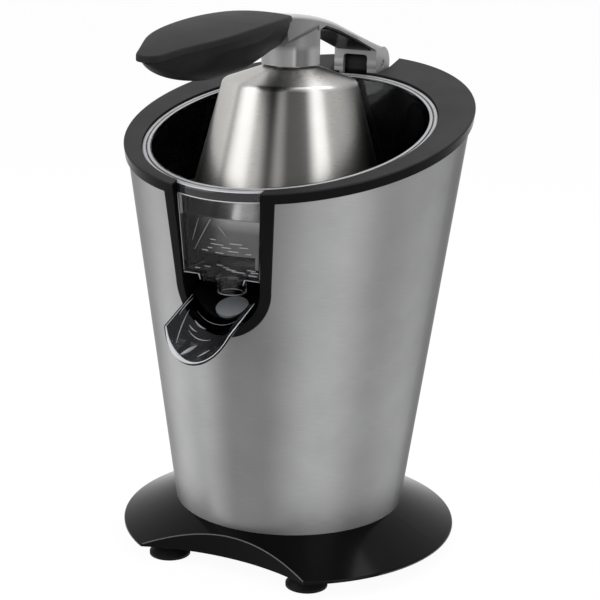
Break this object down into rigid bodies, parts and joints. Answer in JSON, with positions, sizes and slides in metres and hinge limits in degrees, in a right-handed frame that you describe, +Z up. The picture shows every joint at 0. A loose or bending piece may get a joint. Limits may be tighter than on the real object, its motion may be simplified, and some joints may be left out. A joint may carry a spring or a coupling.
{
  "type": "citrus juicer",
  "caption": "Motor-driven citrus juicer: tapered brushed-steel body on a black base, clear juice bowl and tip-up spout, and a hinged lever that presses a steel dome over a ribbed cone.",
  "frame": {"origin": "on the worktop, under the axis of the conical steel body", "axes": "+Z up, -Y towards the spout (front), +X to the right as seen from behind the spout looking back; the lever is down"},
  "size_m": [0.2012, 0.2654, 0.3181],
  "materials": {
    "brushed_steel": "circular brushing",
    "cast_arm": "satin metallic grey",
    "gloss_black": "gloss",
    "matte_black": "satin",
    "handle_grip": "soft matte",
    "black_reamer": "gloss",
    "rubber": "matte",
    "clear_plastic": "clear",
    "grey_silicone": "satin",
    "plain_steel": "plain steel",
    "bronze": "sintered bronze",
    "gear_plastic": "acetal",
    "iron_core": "laminated iron",
    "copper_winding": "enamelled copper"
  },
  "bodies": {
    "housing": {"body_shell": "brushed_steel", "base_shell": "gloss_black", "top_rim": "gloss_black", "bottom_cover": "matte_black", "hinge_post": "matte_black", "bowl_well": "matte_black", "gear_case": "matte_black", "gear_case_lid": "matte_black", "switch_body": "matte_black", "strainer": "black_reamer", "foot_front_left": "rubber", "foot_front_right": "rubber", "foot_rear_left": "rubber", "foot_rear_right": "rubber", "cord_gland": "rubber", "shaft_seal": "rubber", "juice_bowl": "clear_plastic", "base_screws": "plain_steel", "hinge_pin": "plain_steel", "hinge_screws": "plain_steel", "idler_axle": "plain_steel", "idler_washers": "plain_steel", "case_screws": "plain_steel", "motor_screws": "plain_steel", "spout_pin": "plain_steel", "return_spring": "plain_steel", "motor_bracket_upper": "plain_steel", "motor_bracket_lower": "plain_steel", "neck_bush": "bronze", "lid_bush": "bronze", "motor_bushes": "bronze", "motor_stator": "iron_core", "stator_windings": "copper_winding"},
    "lever": {"lever_arm": "cast_arm", "stem_cap": "cast_arm", "arm_liner": "matte_black", "handle_top": "handle_grip", "handle_shell": "handle_grip", "handle_screws": "plain_steel", "presser_pin": "plain_steel"},
    "presser": {"presser_dome": "brushed_steel", "presser_cup": "black_reamer", "presser_hub": "plain_steel", "presser_screw": "plain_steel"},
    "spout_unit": {"spout": "clear_plastic", "spout_rocker": "matte_black", "drip_seal": "grey_silicone"},
    "carriage": {"thrust_cap": "matte_black", "switch_button": "gear_plastic"},
    "drive": {"drive_shaft": "plain_steel", "squeezing_cone": "black_reamer"},
    "output": {"output_gear": "gear_plastic"},
    "idler": {"idler_gear": "gear_plastic"},
    "rotor": {"motor_shaft": "plain_steel", "motor_rotor": "iron_core", "cooling_fan": "gear_plastic"}
  },
  "joints": [
    {"name": "lever_hinge", "type": "hinge", "parent": "housing", "child": "lever", "pos_m": [0, 0.088, 0.2775], "axis": [-1, 0, 0], "range_deg": [0, 85]},
    {"name": "presser_tilt", "type": "hinge", "parent": "lever", "child": "presser", "pos_m": [0, -0.009, 0.295], "axis": [-1, 0, 0], "range_deg": [-1.5, 1.5]},
    {"name": "spout_tilt", "type": "hinge", "parent": "housing", "child": "spout_unit", "pos_m": [0, -0.054, 0.1636], "axis": [-1, 0, 0], "range_deg": [0, 21.3]},
    {"name": "press_slide", "type": "slide", "parent": "housing", "child": "carriage", "axis": [0, 0, -1], "range_m": [0, 0.002], "stiffness_N_per_m": 3000, "springref_m": -0.003, "deforming": ["return_spring"]},
    {"name": "motor_spin", "type": "hinge", "parent": "housing", "child": "rotor", "pos_m": [0.02182, 0.0144, 0.09], "axis": [0, 0, 1], "continuous": true},
    {"name": "cone_spin", "type": "hinge", "parent": "carriage", "child": "drive", "pos_m": [0, -0.009, 0.2], "axis": [0, 0, 1], "continuous": true},
    {"name": "output_spin", "type": "hinge", "parent": "housing", "child": "output", "pos_m": [0, -0.009, 0.14], "axis": [0, 0, 1], "continuous": true},
    {"name": "idler_spin", "type": "hinge", "parent": "housing", "child": "idler", "pos_m": [0, 0.027, 0.13], "axis": [0, 0, 1], "continuous": true}
  ],
  "couplings": [
    {"joint": "cone_spin", "follows": "motor_spin", "ratio": 0.04},
    {"joint": "output_spin", "follows": "motor_spin", "ratio": 0.04},
    {"joint": "idler_spin", "follows": "motor_spin", "ratio": -0.2}
  ]
}
